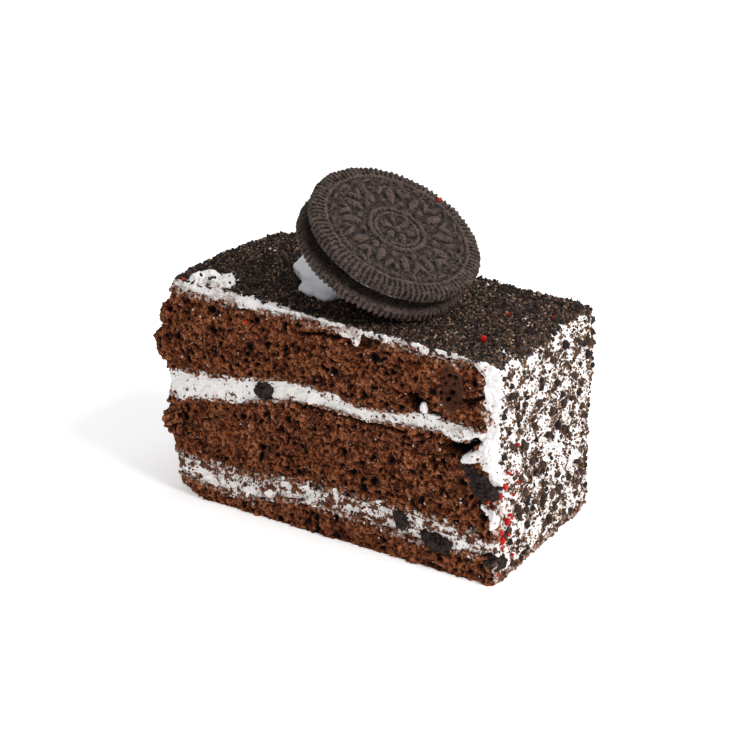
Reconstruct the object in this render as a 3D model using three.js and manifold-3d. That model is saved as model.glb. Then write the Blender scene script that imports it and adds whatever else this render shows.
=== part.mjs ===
// A bar-cut slice of chocolate layer cake: three sponges, two cream layers, an iced top and right
// end under biscuit crumbs, and a sandwich biscuit leaning on a dab of whipped cream.
// Millimetres, +Z up. The long cut face looks along -Y and the iced end along +X.
import * as THREE from "three";
import { ImprovedNoise } from "three/addons/math/ImprovedNoise.js";
import { mergeVertices } from "three/addons/utils/BufferGeometryUtils.js";
import Module from "manifold-3d";

const wasm = await Module();
wasm.setup();

// Slice
const length = 94; // cut left end to iced right end
const width = 51; // long cut face to long back face
const height = 58.6; // mean height of the crumb-coated top
const cornerRise = { frontLeft: 2.2, frontRight: -0.7, backLeft: 0, backRight: -2.8 };
const mound = { x: 68, y: 17, rise: 0.9, spread: 10 }; // crumbs heaped under the biscuit's low edge
const gap = 0.3; // kept between pieces that touch

// Heights of each boundary on the front face, at six even stations from the left end to the right
const bottomSpongeTop = [5.0, 3.6, 7.6, 7.2, 6.0, 7.2];
const middleSpongeFoot = [12.0, 11.8, 13.6, 14.0, 14.2, 13.4];
const middleSpongeTop = [28.3, 31.5, 35.8, 35.7, 37.4, 36.8];
const topSpongeFoot = [35.6, 37.6, 40.8, 38.8, 40.7, 40.6];
const topIcing = [2.8, 3.2, 2.0, 2.3, 1.9, 1.8]; // thickness, at the same stations

// Iced end and cut ends
const sideIcingAtTop = 5.0;
const sideIcingAtFoot = 1.6;
const icingFoot = 2.1; // the side icing stops this far above the floor
const ledge = 1.25; // and the bottom sponge shows below it as a ledge this high
const icingEdge = 4.6; // radius between the iced top and the iced end
const leftBulge = 4.4; // the cut left end swells this far at mid height
const leftSwell = 1.8; // and this much more half way back
const footRound = 6.0; // and is rounded off at the floor
const plumbCorner = 1.4; // radius of the vertical corners

// Crumbs large enough to stand out of the fine coat, and the two largest: place (y, z) and half sizes
const topCrumbs = 26;
const endCrumbs = 47;
const redChipCount = 9;
const largeCrumbs = [[35, 40, 2.4, 3.3], [44.5, 30.5, 1.2, 2.2]];

// Sandwich biscuit
const biscuitRadius = 22.6;
const waferThickness = 3.3;
const fillingThickness = 3.1;
const fillingRadius = 18.9;
const flutes = 96;
const fluteDepth = 0.35;
const biscuitTilt = 30.2; // degrees, leaning down towards the iced end
const biscuitHeading = -8.5; // degrees from +X, seen from above
const biscuitFoot = new THREE.Vector2(48.9, 20.1); // centre of the lower wafer's outer face
const footRadius = biscuitRadius - 1.2; // and the radius of that face
const waferSlip = new THREE.Vector2(0.4, 0.6); // the upper wafer has slid this far over the lower

// Whipped cream dab under the raised side of the biscuit: heights are above the coat
const dabHeart = new THREE.Vector3(39, 20.8, 3.1);
const dabLobes = [
  { centre: new THREE.Vector3(36.2, 20.8, 4.3), half: new THREE.Vector3(12.8, 8.4, 5.4) },
  { centre: new THREE.Vector3(39.0, 20.0, 1.5), half: new THREE.Vector3(12.8, 7.4, 3.1) },
  { centre: new THREE.Vector3(42.5, 22.0, 7.6), half: new THREE.Vector3(8.5, 7.5, 9.0) },
];

const noise = new ImprovedNoise();
const { lerp, clamp, degToRad } = THREE.MathUtils;

// A repeatable number from 0 to 1 for the k-th thing of a kind
const pick = (k, kind) => {
  const s = Math.sin(k * 12.9898 + kind * 78.233) * 43758.5453;
  return s - Math.floor(s);
};
// The k-th point of an even spread over the unit square
const spread = (k) => [(0.5 + k * 0.7548776662) % 1, (0.5 + k * 0.5698402910) % 1];
// Fractal noise of about one unit at this grain, in millimetres
const crag = (p, grain, seed) =>
  noise.noise(p.x / grain + seed, p.y / grain, p.z / grain) +
  0.5 * noise.noise((p.x * 2.1) / grain, p.y / (grain * 0.47) + seed, (p.z * 2.1) / grain);

// A boundary that runs along x as the stations say, and is turned end for end at the back face
function boundary(values) {
  const xs = values.map((_, i) => (length * i) / (values.length - 1));
  const curve = new THREE.CubicInterpolant(xs, values, 1);
  const mean = values.reduce((a, b) => a + b) / values.length;
  const front = (x) => curve.evaluate(clamp(x, 0, length))[0];
  return (x, y) => lerp(front(x), mean + 0.8 * (front(length - x) - mean), y / width);
}
const bottomSpongeTopAt = boundary(bottomSpongeTop);
const middleSpongeFootAt = boundary(middleSpongeFoot);
const middleSpongeTopAt = boundary(middleSpongeTop);
const topSpongeFootAt = boundary(topSpongeFoot);
const icingAt = boundary(topIcing);
const topAt = (x, y) => {
  const u = clamp(x / length, -0.1, 1.1);
  const { frontLeft, frontRight, backLeft, backRight } = cornerRise;
  const fromMound = Math.hypot(x - mound.x, y - mound.y) / mound.spread;
  const heap = mound.rise * Math.exp(-(fromMound ** 2));
  return height + heap + lerp(lerp(frontLeft, frontRight, u), lerp(backLeft, backRight, u), y / width);
};
const topSpongeTopAt = (x, y) => topAt(x, y) - icingAt(x, y);

const leftEnd = (z, y) =>
  -leftBulge * Math.pow(Math.sin(Math.PI * clamp((z + 1) / (height + 3), 0, 1)), 0.55) +
  footRound * Math.pow(Math.max(0, 1 - z / 4), 2) -
  leftSwell * Math.sin((Math.PI * y) / width);
const spongeRightEnd = (z) => length - lerp(sideIcingAtFoot, sideIcingAtTop, clamp(z / height, 0, 1));
const footRightEnd = (z) => (z < ledge ? length - gap : spongeRightEnd(z) - gap);

// Rounds a point near the vertical corners, given its plan and the ends of its row
function roundPlan(x, y, left, right, radius) {
  const centre = new THREE.Vector2(clamp(x, left + radius, right - radius), clamp(y, radius, width - radius));
  const arm = new THREE.Vector2(x, y).sub(centre);
  return arm.length() > radius ? arm.setLength(radius).add(centre) : arm.add(centre);
}

// Vertices and faces gathered into one closed geometry
class Shell {
  points = [];
  faces = [];
  add(p) {
    this.points.push(p.x, p.y, p.z);
    return this.points.length / 3 - 1;
  }
  tri(a, b, c) {
    this.faces.push(a, b, c);
  }
  quad(a, b, c, d) {
    this.faces.push(a, b, c, a, c, d);
  }
  // Joins a row of edge points to two far points, turning from the first to the second half way
  fan(edge, first, last, flip) {
    const put = (a, b, c) => (flip ? this.tri(a, c, b) : this.tri(a, b, c));
    const half = Math.floor(edge.length / 2);
    for (let j = 0; j + 1 < edge.length; j++) put(edge[j], edge[j + 1], j < half ? first : last);
    put(edge[half], last, first);
  }
  geometry() {
    return new THREE.BufferGeometry()
      .setAttribute("position", new THREE.Float32BufferAttribute(this.points, 3))
      .setIndex(this.faces);
  }
}

// One layer of the slice: rough walls on four sides, and interfaces that follow the boundaries.
// The levels are heights from foot to top, as fractions
function layer({ foot, top, rightEnd, along, across, levels, rough, inset = 0, grain = 4.5, seed }) {
  const shell = new Shell();
  const rows = levels.length - 1;
  const around = 2 * (along + across);
  const plan = (p) => {
    if (p < along) return [p / along, 0];
    if (p < along + across) return [1, (p - along) / across];
    if (p < 2 * along + across) return [1 - (p - along - across) / along, 1];
    return [0, 1 - (p - 2 * along - across) / across];
  };
  const place = (u, v, w) => {
    const z0 = lerp(foot(u * length, v * width), top(u * length, v * width), w);
    const [left, right] = [leftEnd(z0, v * width) + inset, rightEnd(z0)];
    const plan = roundPlan(lerp(left, right, u), v * width, left, right, plumbCorner);
    const p = new THREE.Vector3(plan.x, plan.y, 0);
    const flat = foot(p.x, p.y) === 0;
    p.z = lerp(foot(p.x, p.y) + (flat ? 0 : gap / 2), top(p.x, p.y) - gap / 2, w);
    if (flat && w === 0) return p;
    const out = rough * crag(p, grain, seed) - inset * 0.5;
    if (v === 0) p.y -= out;
    if (v === 1) p.y += out;
    if (u === 0) p.x -= out;
    return p;
  };
  const wall = [];
  for (let p = 0; p < around; p++) {
    const [u, v] = plan(p);
    wall.push(levels.map((w) => shell.add(place(u, v, w))));
  }
  for (let p = 0; p < around; p++) {
    const [a, b] = [wall[p], wall[(p + 1) % around]];
    for (let k = 0; k < rows; k++) shell.quad(a[k], b[k], b[k + 1], a[k + 1]);
  }
  for (const k of [0, rows]) {
    const flip = k === 0;
    const front = (i) => wall[i][k];
    const back = (i) => wall[2 * along + across - i][k];
    for (let i = 1; i + 1 < along; i++) {
      if (flip) shell.quad(front(i), back(i), back(i + 1), front(i + 1));
      else shell.quad(front(i), front(i + 1), back(i + 1), back(i));
    }
    const rightEdge = [...Array(across + 1).keys()].map((j) => wall[along + j][k]);
    const leftEdge = [...Array(across + 1).keys()].map((j) => wall[(around - j) % around][k]);
    shell.fan(rightEdge, front(along - 1), back(along - 1), flip);
    shell.fan(leftEdge, front(1), back(1), !flip);
  }
  return shell.geometry();
}

// Where the coat is kept even, under the dab and the biscuit's low edge: 0 there and 1 elsewhere
const openCoat = (x, y) => {
  const dab = Math.hypot((x - dabHeart.x) / 15, (y - dabHeart.y) / 11);
  const rim = Math.hypot((x - mound.x) / 8, (y - mound.y) / 18);
  return clamp((Math.min(dab, rim) - 1) * 5, 0, 1);
};

// The icing over the top and down the right end, as one bent slab with a bumpy outer face
function icingCoat() {
  const shell = new Shell();
  const [along, bend, down, across] = [26, 3, 14, 11];
  const total = along + bend + down;
  const outer = (i, v) => {
    const y0 = v * width;
    const turn = topAt(length, y0) - icingEdge;
    let p;
    const normal = new THREE.Vector3();
    if (i <= along) {
      const left = leftEnd(height, y0);
      const x = lerp(left, length - icingEdge, i / along);
      const q = roundPlan(x, y0, left, length + 20, plumbCorner);
      p = new THREE.Vector3(q.x, q.y, topAt(q.x, q.y));
      normal.set(0, 0, 1);
    } else {
      const angle = (Math.PI / 2) * (1 - Math.min(1, (i - along) / bend));
      const drop = Math.max(0, i - along - bend) / down;
      normal.set(Math.cos(angle), 0, Math.sin(angle));
      const z = lerp(turn, icingFoot, drop) + icingEdge * Math.sin(angle);
      const q = roundPlan(length - icingEdge + icingEdge * Math.cos(angle), y0, -20, length, 2.5);
      p = new THREE.Vector3(q.x, q.y, z);
    }
    const edge = Math.min(v, 1 - v) * across < 0.5 || i === 0 || i === total;
    const bump = edge ? 0.1 : 0.3 * openCoat(p.x, p.y) * (1.6 * pick(i * 31 + v * 977, 1) - 0.6);
    return p.addScaledVector(normal, bump);
  };
  const inner = (i, v) => {
    const y = v * width;
    const seat = (x) => topSpongeTopAt(x, y) + gap / 2;
    const cornerX = spongeRightEnd(height) + gap;
    if (i <= along) {
      const x = lerp(leftEnd(height, y) + 0.2, cornerX, i / along);
      return new THREE.Vector3(x, y, seat(x));
    }
    const z = lerp(seat(cornerX), icingFoot, (i - along) / (bend + down));
    return new THREE.Vector3(spongeRightEnd(z) + gap, y, z);
  };
  const skin = [];
  const back = [];
  for (let i = 0; i <= total; i++) {
    skin.push([...Array(across + 1).keys()].map((j) => shell.add(outer(i, j / across))));
    back.push([shell.add(inner(i, 0)), shell.add(inner(i, 1))]);
  }
  for (let i = 0; i < total; i++) {
    const [here, next] = [skin[i], skin[i + 1]];
    for (let j = 0; j < across; j++) shell.quad(here[j], next[j], next[j + 1], here[j + 1]);
    shell.quad(back[i][0], back[i][1], back[i + 1][1], back[i + 1][0]);
    shell.quad(skin[i][0], back[i][0], back[i + 1][0], skin[i + 1][0]);
    shell.quad(skin[i][across], skin[i + 1][across], back[i + 1][1], back[i][1]);
  }
  shell.fan(skin[0], back[0][0], back[0][1], false);
  shell.fan(skin[total], back[total][0], back[total][1], true);
  return shell.geometry();
}

// manifold-3d joins and cuts
function solid(geometry) {
  const bare = geometry.clone();
  bare.deleteAttribute("normal");
  bare.deleteAttribute("uv");
  const merged = mergeVertices(bare, 1e-4);
  return new wasm.Manifold(
    new wasm.Mesh({
      numProp: 3,
      vertProperties: merged.attributes.position.array,
      triVerts: new Uint32Array(merged.index.array),
    }),
  );
}
const join = (first, others) => others.reduce((sum, one) => sum.add(one), first);
const cut = (first, others) => others.reduce((rest, one) => rest.subtract(one), first);
// The largest body of a solid, as a geometry: scraps that a cut leaves loose are dropped
function geometryOf(body) {
  const largest = body.decompose().sort((a, b) => b.volume() - a.volume())[0];
  const { numProp, vertProperties, triVerts } = largest.getMesh();
  const flat = new Float32Array((vertProperties.length / numProp) * 3);
  for (let i = 0; i * numProp < vertProperties.length; i++) {
    flat.set(vertProperties.subarray(i * numProp, i * numProp + 3), i * 3);
  }
  return new THREE.BufferGeometry()
    .setAttribute("position", new THREE.BufferAttribute(flat, 3))
    .setIndex(new THREE.BufferAttribute(new Uint32Array(triVerts), 1));
}

// A broken crumb or chunk: a faceted ball with its corners pushed in and out
function crumb(centre, size, k, { base = new THREE.IcosahedronGeometry(1, 0), jitter = 0.3, turn } = {}) {
  const shape = base.clone();
  shape.deleteAttribute("normal");
  shape.deleteAttribute("uv");
  const ball = mergeVertices(shape, 1e-4);
  const at = ball.attributes.position;
  for (let i = 0; i < at.count; i++) {
    const v = new THREE.Vector3().fromBufferAttribute(at, i);
    v.multiplyScalar(1 + jitter * (pick(k * 17 + i, 2) - 0.6));
    at.setXYZ(i, v.x, v.y, v.z);
  }
  const angles = turn ?? new THREE.Euler(6.283 * pick(k, 3), 6.283 * pick(k, 4), 0);
  ball.applyMatrix4(
    new THREE.Matrix4().compose(centre, new THREE.Quaternion().setFromEuler(angles), size),
  );
  return ball;
}
const even = (r) => new THREE.Vector3(r, r, r);
const ellipsoid = (x, y, z, a, b, c) => {
  const ball = new THREE.SphereGeometry(1, 10, 7);
  return solid(ball.scale(a, b, c).translate(x, y, z));
};

// Pieces of broken biscuit that show at the cut face: place, half sizes and lean in degrees
const chunks = {
  chunk_side: { at: [88.7, 2.3, 26.7], half: [2.8, 3.2, 7.4], lean: -41 },
  chunk_lower: { at: [77.6, 1.9, 7.0], half: [5.2, 2.6, 2.0], lean: 14 },
  chunk_corner: { at: [92.6, 1.7, 6.2], half: [2.9, 2.6, 2.6], lean: 0 },
  chunk_upper: { at: [26.6, 1.5, 36.0], half: [3.3, 2.4, 2.5], lean: 10 },
  chunk_small: { at: [67.0, 0.9, 11.0], half: [1.2, 1.6, 2.5], lean: -14 },
};
// The same pieces grown by a margin, which is also the pocket that each one sits in
function chunk(name, grow) {
  const { at, half, lean } = chunks[name];
  const k = Object.keys(chunks).indexOf(name) + 40;
  const size = new THREE.Vector3(...half).addScalar(grow);
  const shape = crumb(new THREE.Vector3(...at), size, k, {
    base: new THREE.DodecahedronGeometry(1, 0),
    turn: new THREE.Euler(0, degToRad(lean), 0),
  });
  const p = shape.attributes.position;
  for (let i = 0; i < p.count; i++) {
    p.setY(i, Math.max(p.getY(i), -0.4 - grow));
    p.setX(i, Math.min(p.getX(i), length + 0.4 + grow));
  }
  return shape;
}
const pockets = Object.keys(chunks).map((name) => solid(chunk(name, gap)));

// Bubbles, cracks and knocked-out crumb in the cut face of the top and middle sponges
const topBubbles = [
  ellipsoid(80.4, -0.6, 49.6, 3.9, 3.6, 6.2),
  ellipsoid(84.6, 0, 46.4, 4.6, 2.4, 1.0),
  ellipsoid(72.2, -0.2, 43.4, 1.7, 3.2, 2.3),
  ellipsoid(56.2, -0.3, 55.4, 4.6, 2.6, 1.2),
  ellipsoid(-3.4, 4, 47.5, 1.8, 2.6, 1.4),
];
const middleBubbles = [
  ellipsoid(83.2, 0.4, 35.0, 5.4, 3.4, 1.7),
  ellipsoid(79.0, -0.4, 29.4, 1.3, 1.8, 3.6),
  ellipsoid(0.6, 0.2, 21.4, 2.3, 2.0, 3.4),
];
// Crumb that hangs out of the cut left end
const lump = (x, y, z, r, k) => {
  const look = { base: new THREE.IcosahedronGeometry(1, 1), jitter: 0.2 };
  return solid(crumb(new THREE.Vector3(x, y, z), even(r), k, look));
};
const topLumps = [lump(-3.8, 3.4, 41.4, 4.6, 1), lump(-3.4, 3.0, 49.5, 3.2, 2)];
const middleLumps = [lump(-3.8, 2.8, 20.4, 3.2, 4)];

const evenly = (rows) => [...Array(rows + 1).keys()].map((k) => k / rows);
function topSponge() {
  const body = layer({
    foot: topSpongeFootAt, top: topSpongeTopAt, rightEnd: spongeRightEnd,
    along: 30, across: 15, levels: evenly(6), rough: 0.75, seed: 3,
  });
  return geometryOf(cut(join(solid(body), topLumps), [...topBubbles, ...pockets]));
}
function middleSponge() {
  const body = layer({
    foot: middleSpongeFootAt, top: middleSpongeTopAt, rightEnd: spongeRightEnd,
    along: 30, across: 15, levels: evenly(6), rough: 0.75, seed: 11,
  });
  return geometryOf(cut(join(solid(body), middleLumps), [...middleBubbles, ...pockets]));
}
function bottomSponge() {
  const body = layer({
    foot: () => 0, top: bottomSpongeTopAt, rightEnd: footRightEnd,
    along: 30, across: 15, levels: [0, 0.17, 0.3, 0.65, 1], rough: 0.6, seed: 19,
  });
  return geometryOf(cut(solid(body), pockets));
}
function cream(foot, top, seed) {
  const body = layer({
    foot, top, rightEnd: spongeRightEnd,
    along: 30, across: 13, levels: evenly(2), rough: 0.5, inset: 0.4, grain: 6, seed,
  });
  return geometryOf(cut(solid(body), pockets));
}

// Crumbs too big to be part of the fine coat, spread over the top and the iced end
function coatCrumbs() {
  const coarse = new THREE.IcosahedronGeometry(1, 0);
  const fine = new THREE.OctahedronGeometry(1, 0);
  const made = largeCrumbs.map(([y, z, a, b], k) =>
    crumb(new THREE.Vector3(length, y, z), new THREE.Vector3(1.4, a, b), k, { turn: new THREE.Euler() }),
  );
  for (let k = 0; k < topCrumbs; k++) {
    const [a, b] = spread(k);
    const [x, y, r] = [lerp(16, length - 4, a), lerp(3, width - 3, b), 0.75 + 0.7 * pick(k, 5) ** 2];
    const at = new THREE.Vector3(x, y, topAt(x, y) + 0.1);
    if (openCoat(x, y) === 1) made.push(crumb(at, even(r), k, { base: r > 1.1 ? coarse : fine }));
  }
  for (let k = 0; k < endCrumbs; k++) {
    const [a, b] = spread(k + 200);
    const [y, z, r] = [lerp(5.5, width - 2, a), lerp(4, height - 6, b), 0.8 + 1.2 * pick(k, 6) ** 3];
    const at = new THREE.Vector3(length + 0.1, y, z);
    const clear = largeCrumbs.every(([cy, cz, , half]) => Math.hypot(y - cy, z - cz) > half + 1.5);
    if (clear) made.push(crumb(at, even(r), k + 100, { base: r > 1.2 ? coarse : fine }));
  }
  return made;
}
// Chips of freeze-dried berry, in a loose line up the front corner of the iced end
function redChips() {
  const base = new THREE.OctahedronGeometry(1, 0);
  return [...Array(redChipCount).keys()].map((k) => {
    const z = lerp(3.4, 24, k / (redChipCount - 1));
    return crumb(new THREE.Vector3(length + 0.1, 4.4 + 3.2 * pick(k, 7), z), even(0.85), k, { base });
  });
}
// Bare cream where the coat is torn away, near the left of the front edge
function tornPatch() {
  return [
    [5.5, 8.5, 3.6, 2.4],
    [10.5, 10.0, 4.2, 2.8],
    [15.6, 8.0, 3.4, 2.6],
  ].map(([x, y, a, b]) => new THREE.IcosahedronGeometry(1, 1).scale(a, b, 1.5).translate(x, y, topAt(x, y)));
}

// The biscuit's own frame: its foot is the centre of the lower wafer's outer face
const tilt = degToRad(biscuitTilt);
const heading = degToRad(biscuitHeading);
const biscuitUp = new THREE.Vector3(
  Math.sin(tilt) * Math.cos(heading), Math.sin(tilt) * Math.sin(heading), Math.cos(tilt),
);
const leaning = new THREE.Vector2(Math.cos(heading), Math.sin(heading));
const lowRim = biscuitFoot.clone().addScaledVector(leaning, footRadius * Math.cos(tilt));
const biscuitFootZ = topAt(lowRim.x, lowRim.y) + gap + footRadius * Math.sin(tilt);
const underBiscuit = (x, y) =>
  biscuitFootZ - ((x - biscuitFoot.x) * biscuitUp.x + (y - biscuitFoot.y) * biscuitUp.y) / biscuitUp.z;

// A wafer with a fluted rim, lying on its plain inner face
function wafer(profile) {
  const shell = new Shell();
  const steps = flutes * 2;
  const rings = profile.map(([radius, z, depth]) =>
    [...Array(steps).keys()].map((s) => {
      const angle = (2 * Math.PI * s) / steps;
      const r = radius - (s % 2) * depth;
      return shell.add(new THREE.Vector3(r * Math.cos(angle), r * Math.sin(angle), z));
    }),
  );
  const [foot, crown] = [profile[0][1], profile[profile.length - 1][1]];
  const poles = [foot, crown].map((z) => shell.add(new THREE.Vector3(0, 0, z)));
  for (let s = 0; s < steps; s++) {
    const t = (s + 1) % steps;
    shell.tri(poles[0], rings[0][t], rings[0][s]);
    shell.tri(poles[1], rings[rings.length - 1][s], rings[rings.length - 1][t]);
    for (let k = 0; k + 1 < rings.length; k++) {
      shell.quad(rings[k][s], rings[k][t], rings[k + 1][t], rings[k + 1][s]);
    }
  }
  return shell.geometry();
}
// Raised work on the upper face: a ring with a rosette inside and a circle of leaves outside
function raisedWork(face) {
  const bead = (radius, half) => {
    const section = [[radius - half, -0.4], [radius + half, -0.4], [radius, 0.35], [radius - half, -0.4]];
    const ring = new THREE.LatheGeometry(section.map(([r, z]) => new THREE.Vector2(r, z)), 36);
    return solid(ring.rotateX(Math.PI / 2).translate(0, 0, face));
  };
  const circle = (count, radius, long, wide) =>
    [...Array(count).keys()].map((i) => {
      const leaf = new THREE.OctahedronGeometry(1, 0).scale(long, wide, 0.45).translate(radius, 0, face);
      return solid(leaf.rotateZ((2 * Math.PI * (i + 0.5)) / count));
    });
  return [bead(7.2, 0.6), ...circle(6, 3.6, 2.2, 0.9), ...circle(16, 12.6, 3.2, 1.1)];
}
function upperWafer() {
  const face = waferThickness - 0.25;
  const body = wafer([
    [biscuitRadius - 0.7, 0, 0],
    [biscuitRadius, 1.3, fluteDepth],
    [biscuitRadius - 0.5, 2.6, fluteDepth],
    [biscuitRadius - 2.9, face, 0],
  ]);
  return geometryOf(join(solid(body), raisedWork(face)));
}
// The lower wafer lies face down, so its rim is the upper one's turned over
function lowerWafer() {
  return wafer([
    [footRadius, 0, fluteDepth],
    [biscuitRadius, waferThickness - 1.4, fluteDepth],
    [biscuitRadius - 0.7, waferThickness, 0],
  ]);
}
function filling() {
  const half = fillingThickness / 2 - gap;
  const edge = fillingRadius - 0.5;
  const section = [[0, -half], [edge, -half], [fillingRadius, 0], [edge, half], [0, half]];
  const points = section.map(([r, z]) => new THREE.Vector2(r, z));
  return new THREE.LatheGeometry(points, 40).rotateX(-Math.PI / 2);
}

// How far a ray from the dab's heart runs before it leaves a lobe
function reach({ centre, half }, ray) {
  const from = dabHeart.clone().sub(centre).divide(half);
  const step = ray.clone().divide(half);
  const [a, b, c] = [step.lengthSq(), from.dot(step), from.lengthSq() - 1];
  return (Math.sqrt(b * b - a * c) - b) / a;
}
// The soft dab: its lobes run together, pressed flat by the coat and by the biscuit's underside
function dab() {
  const sphere = new THREE.SphereGeometry(1, 20, 13).rotateX(Math.PI / 2);
  sphere.deleteAttribute("normal");
  sphere.deleteAttribute("uv");
  const ball = mergeVertices(sphere, 1e-4);
  const at = ball.attributes.position;
  for (let i = 0; i < at.count; i++) {
    const ray = new THREE.Vector3().fromBufferAttribute(at, i).normalize();
    const far = Math.max(...dabLobes.map((lobe) => reach(lobe, ray)));
    const { x, y, z } = ray.multiplyScalar(far).add(dabHeart);
    const coat = topAt(x, y);
    at.setXYZ(i, x, y, clamp(coat + z, coat + gap, underBiscuit(x, y) - gap));
  }
  return ball;
}

const finish = (color, roughness) => new THREE.MeshStandardMaterial({ color, roughness, metalness: 0 });
const sponge = finish(0x5a3322, 0.95);
const whippedCream = finish(0xf2efe9, 0.55);
const crumbCoat = finish(0x3a302a, 0.9);
const darkBiscuit = finish(0x3b302b, 0.85);

const cake = new THREE.Group();
function put(name, geometry, material, parent = cake) {
  const mesh = new THREE.Mesh(geometry, material);
  mesh.name = name;
  parent.add(mesh);
  return mesh;
}

put("sponge_bottom", bottomSponge(), sponge);
put("cream_lower", cream(bottomSpongeTopAt, middleSpongeFootAt, 23), whippedCream);
put("sponge_middle", middleSponge(), sponge);
put("cream_upper", cream(middleSpongeTopAt, topSpongeFootAt, 29), whippedCream);
put("sponge_top", topSponge(), sponge);
const coat = join(solid(icingCoat()), [...coatCrumbs(), ...redChips(), ...tornPatch()].map(solid));
put("icing", geometryOf(cut(coat, pockets)), crumbCoat);
for (const name of Object.keys(chunks)) put(name, chunk(name, 0), darkBiscuit);
put("cream_dab", dab(), whippedCream);

const biscuit = new THREE.Group();
biscuit.position.set(biscuitFoot.x, biscuitFoot.y, biscuitFootZ);
biscuit.quaternion.setFromUnitVectors(new THREE.Vector3(0, 0, 1), biscuitUp);
put("biscuit_lower", lowerWafer(), darkBiscuit, biscuit);
put("biscuit_filling", filling(), whippedCream, biscuit).position.z = waferThickness + fillingThickness / 2;
const slipped = new THREE.Vector3(waferSlip.x, waferSlip.y, waferThickness + fillingThickness);
put("biscuit_upper", upperWafer(), darkBiscuit, biscuit).position.copy(slipped);
cake.add(biscuit);

// The origin is at the middle of the slice's footprint, on the floor
cake.updateMatrixWorld(true);
const box = new THREE.Box3().setFromObject(cake, true);
cake.position.set(-(box.min.x + box.max.x) / 2, -(box.min.y + box.max.y) / 2, 0);

export default cake;
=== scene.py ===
import math
import bpy
import numpy as np
from mathutils import Euler, Matrix, Vector, noise


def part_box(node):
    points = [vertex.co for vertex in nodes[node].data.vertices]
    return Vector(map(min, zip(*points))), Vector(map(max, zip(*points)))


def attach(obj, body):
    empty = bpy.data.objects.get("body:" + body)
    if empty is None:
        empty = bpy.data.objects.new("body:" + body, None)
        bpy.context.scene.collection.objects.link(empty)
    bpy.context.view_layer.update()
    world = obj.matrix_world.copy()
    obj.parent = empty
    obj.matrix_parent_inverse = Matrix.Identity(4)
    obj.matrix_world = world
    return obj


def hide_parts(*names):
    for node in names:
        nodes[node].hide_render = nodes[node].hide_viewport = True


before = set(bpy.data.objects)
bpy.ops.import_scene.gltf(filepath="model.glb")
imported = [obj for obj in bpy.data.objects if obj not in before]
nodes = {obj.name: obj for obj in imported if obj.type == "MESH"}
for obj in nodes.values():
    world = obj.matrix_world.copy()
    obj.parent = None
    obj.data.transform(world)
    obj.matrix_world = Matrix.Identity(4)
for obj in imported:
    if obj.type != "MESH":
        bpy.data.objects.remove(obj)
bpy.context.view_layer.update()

# A bar-cut slice of chocolate layer cake with a sandwich biscuit on top, on a white studio floor
mm = 0.001

# The slice's own corner: the foot of the edge where the long cut face meets the cut left end
icedLength = 93.7 * mm  # from that corner to the foot of the iced end
sliceCorner = Vector((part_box("sponge_bottom")[1].x - icedLength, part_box("icing")[0].y, 0))
sliceHeight = 58.6 * mm
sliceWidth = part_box("icing")[1].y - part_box("icing")[0].y


def fromCorner(x, y, z):  # a place in the slice's own millimetres
    return sliceCorner + Vector((x, y, z)) * mm


def toSlice(spots):  # the way back, for many places at once
    return ((spots - np.array(sliceCorner)) / mm).T


# Small tools

def linear(hexCode):
    channels = [int(hexCode[i:i + 2], 16) / 255 for i in (1, 3, 5)]
    return [c / 12.92 if c <= 0.04045 else ((c + 0.055) / 1.055) ** 2.4 for c in channels] + [1.0]


def setInputs(tree, node, inputs):  # in the node's own order, or by name; a node stands for its output
    for name, value in inputs.items() if isinstance(inputs, dict) else enumerate(inputs):
        if isinstance(value, bpy.types.Node):
            value = next(socket for socket in value.outputs if socket.enabled)
        if isinstance(value, bpy.types.NodeSocket):
            tree.links.new(value, node.inputs[name])
        else:
            isTone = isinstance(value, str) and value.startswith("#")
            node.inputs[name].default_value = linear(value) if isTone else value


def addNode(tree, kind, inputs=(), **settings):
    node = tree.nodes.new(kind if "Node" in kind else "ShaderNode" + kind)
    for name, value in settings.items():
        setattr(node, name, value)
    setInputs(tree, node, inputs)
    return node


def addRamp(tree, level, stops):
    ramp = addNode(tree, "ValToRGB", [level])
    elements = ramp.color_ramp.elements
    while len(elements) < len(stops):
        elements.new(0.5)
    for element, (place, hexCode) in zip(elements, stops):
        element.position = place
        element.color = linear(hexCode)
    return ramp


def addUp(tree, total, *parts):
    for part in parts:
        total = addNode(tree, "Math", [total, part], operation="ADD")
    return total


def layOver(tree, colour, *coats):  # each coat is a mask and the colour that it lets over the rest
    for mask, coat in coats:
        colour = addNode(tree, "Mix", {0: mask, 6: colour, 7: coat}, data_type="RGBA")
    return colour


def newMaterial(name, fields=(), grains=()):  # with the mesh's fields that it reads, and its noises
    material = bpy.data.materials.new(name)
    material.use_nodes = True
    tree = material.node_tree
    place = tree.nodes.new("ShaderNodeTexCoord").outputs["Object"]
    values = [addNode(tree, "Attribute", attribute_name=field).outputs["Fac"] for field in fields]
    noises = []
    for size, detail, roughness in grains:  # the size in mm
        noises.append(addNode(tree, "TexNoise", {
            "Vector": place, "Scale": 1 / (size * mm), "Detail": detail, "Roughness": roughness,
        }))
    return material, tree, *values, *noises


def setSurface(material, colour, roughness, specular=0.5, bump=None):  # bump: strength, mm and height
    tree = material.node_tree
    shader = tree.nodes["Principled BSDF"]
    setInputs(tree, shader, {"Base Color": colour, "Roughness": roughness, "Specular IOR Level": specular})
    if bump:
        strength, depth, height = bump
        node = addNode(tree, "Bump", {"Strength": strength, "Distance": depth * mm, "Height": height})
        setInputs(tree, shader, {"Normal": node})
    return material


def pickOnly(*pieces):
    bpy.ops.object.select_all(action="DESELECT")
    for piece in pieces:
        piece.select_set(True)
    bpy.context.view_layer.objects.active = pieces[0]


def setMode(mode):
    bpy.ops.object.mode_set(mode=mode)


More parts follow.
